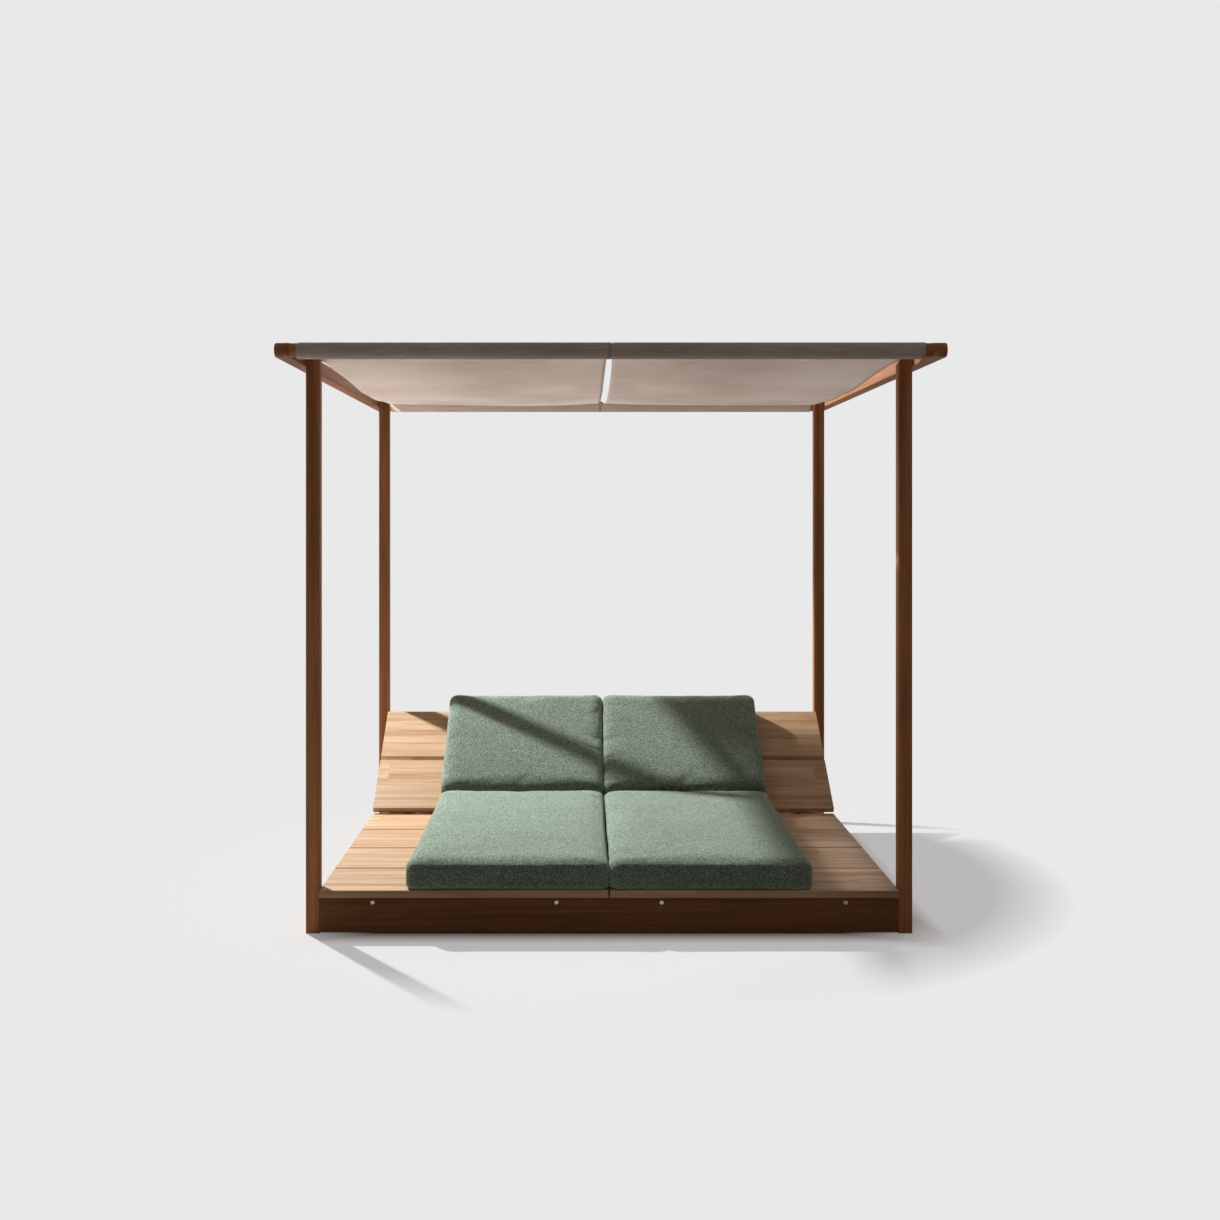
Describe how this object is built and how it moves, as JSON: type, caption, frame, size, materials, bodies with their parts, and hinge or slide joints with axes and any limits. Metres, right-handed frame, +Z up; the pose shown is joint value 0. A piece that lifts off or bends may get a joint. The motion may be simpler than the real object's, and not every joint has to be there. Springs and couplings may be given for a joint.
{
  "type": "outdoor double daybed with canopy",
  "caption": "Low wooden double daybed with side-by-side reclining loungers, thick cushions, corner posts and a sling canopy hung between a front and a rear bar.",
  "frame": {"origin": "on the ground under the middle of the overall box", "axes": "+Z up, +X to the right of someone who faces the front, +Y from the foot end to the rear"},
  "size_m": [2.206, 2.537, 2.0235],
  "materials": {
    "frame_wood": "satin",
    "deck_wood": "satin",
    "steel": "satin",
    "cushion_fabric": "matte",
    "canopy_fabric": "matte"
  },
  "bodies": {
    "frame": {"post_front_left": "frame_wood", "post_front_right": "frame_wood", "post_rear_left": "frame_wood", "post_rear_right": "frame_wood", "side_beam_left": "frame_wood", "side_beam_right": "frame_wood", "canopy_bar_front": "frame_wood", "canopy_bar_rear": "frame_wood", "canopy_canvas_left": "canopy_fabric", "canopy_canvas_right": "canopy_fabric", "beam_bolt_front_left": "steel", "beam_bolt_front_right": "steel", "beam_bolt_rear_left": "steel", "beam_bolt_rear_right": "steel", "fascia_front": "frame_wood", "fascia_rear": "frame_wood", "rail_left_outer": "frame_wood", "rail_left_inner": "frame_wood", "rail_right_inner": "frame_wood", "rail_right_outer": "frame_wood", "fascia_bolt_front_left_outer": "steel", "fascia_bolt_front_left_inner": "steel", "fascia_bolt_front_right_inner": "steel", "fascia_bolt_front_right_outer": "steel", "fascia_bolt_rear_left_outer": "steel", "fascia_bolt_rear_left_inner": "steel", "fascia_bolt_rear_right_inner": "steel", "fascia_bolt_rear_right_outer": "steel", "deck_board_left_1": "deck_wood", "deck_board_left_2": "deck_wood", "deck_board_left_3": "deck_wood", "deck_board_left_4": "deck_wood", "deck_board_right_1": "deck_wood", "deck_board_right_2": "deck_wood", "deck_board_right_3": "deck_wood", "deck_board_right_4": "deck_wood", "hinge_bolt_left_outer": "steel", "hinge_bolt_left_inner": "steel", "hinge_bolt_right_inner": "steel", "hinge_bolt_right_outer": "steel", "seat_cushion_left": "cushion_fabric", "seat_cushion_right": "cushion_fabric"},
    "back_left": {"back_board_left_1": "deck_wood", "back_board_left_2": "deck_wood", "back_arm_left_outer": "frame_wood", "back_arm_left_inner": "frame_wood", "prop_pin_left": "steel", "back_cushion_left": "cushion_fabric"},
    "prop_left": {"prop_leg_left_outer": "frame_wood", "prop_leg_left_inner": "frame_wood", "prop_foot_rod_left": "steel"},
    "back_right": {"back_board_right_1": "deck_wood", "back_board_right_2": "deck_wood", "back_arm_right_outer": "frame_wood", "back_arm_right_inner": "frame_wood", "prop_pin_right": "steel", "back_cushion_right": "cushion_fabric"},
    "prop_right": {"prop_leg_right_outer": "frame_wood", "prop_leg_right_inner": "frame_wood", "prop_foot_rod_right": "steel"}
  },
  "joints": [
    {"name": "back_left_recline", "type": "hinge", "parent": "frame", "child": "back_left", "pos_m": [-0.503, 0.312, 0.118], "axis": [1, 0, 0], "range_deg": [-35, 7.5]},
    {"name": "prop_left_fold", "type": "hinge", "parent": "back_left", "child": "prop_left", "pos_m": [-0.503, 0.5389, 0.27688], "axis": [1, 0, 0], "range_deg": [-15, 70]},
    {"name": "back_right_recline", "type": "hinge", "parent": "frame", "child": "back_right", "pos_m": [0.503, 0.312, 0.118], "axis": [1, 0, 0], "range_deg": [-35, 7.5]},
    {"name": "prop_right_fold", "type": "hinge", "parent": "back_right", "child": "prop_right", "pos_m": [0.503, 0.5389, 0.27688], "axis": [1, 0, 0], "range_deg": [-15, 70]}
  ],
  "couplings": [
    {"joint": "prop_left_fold", "follows": "back_left_recline", "ratio": -2},
    {"joint": "prop_right_fold", "follows": "back_right_recline", "ratio": -2}
  ]
}
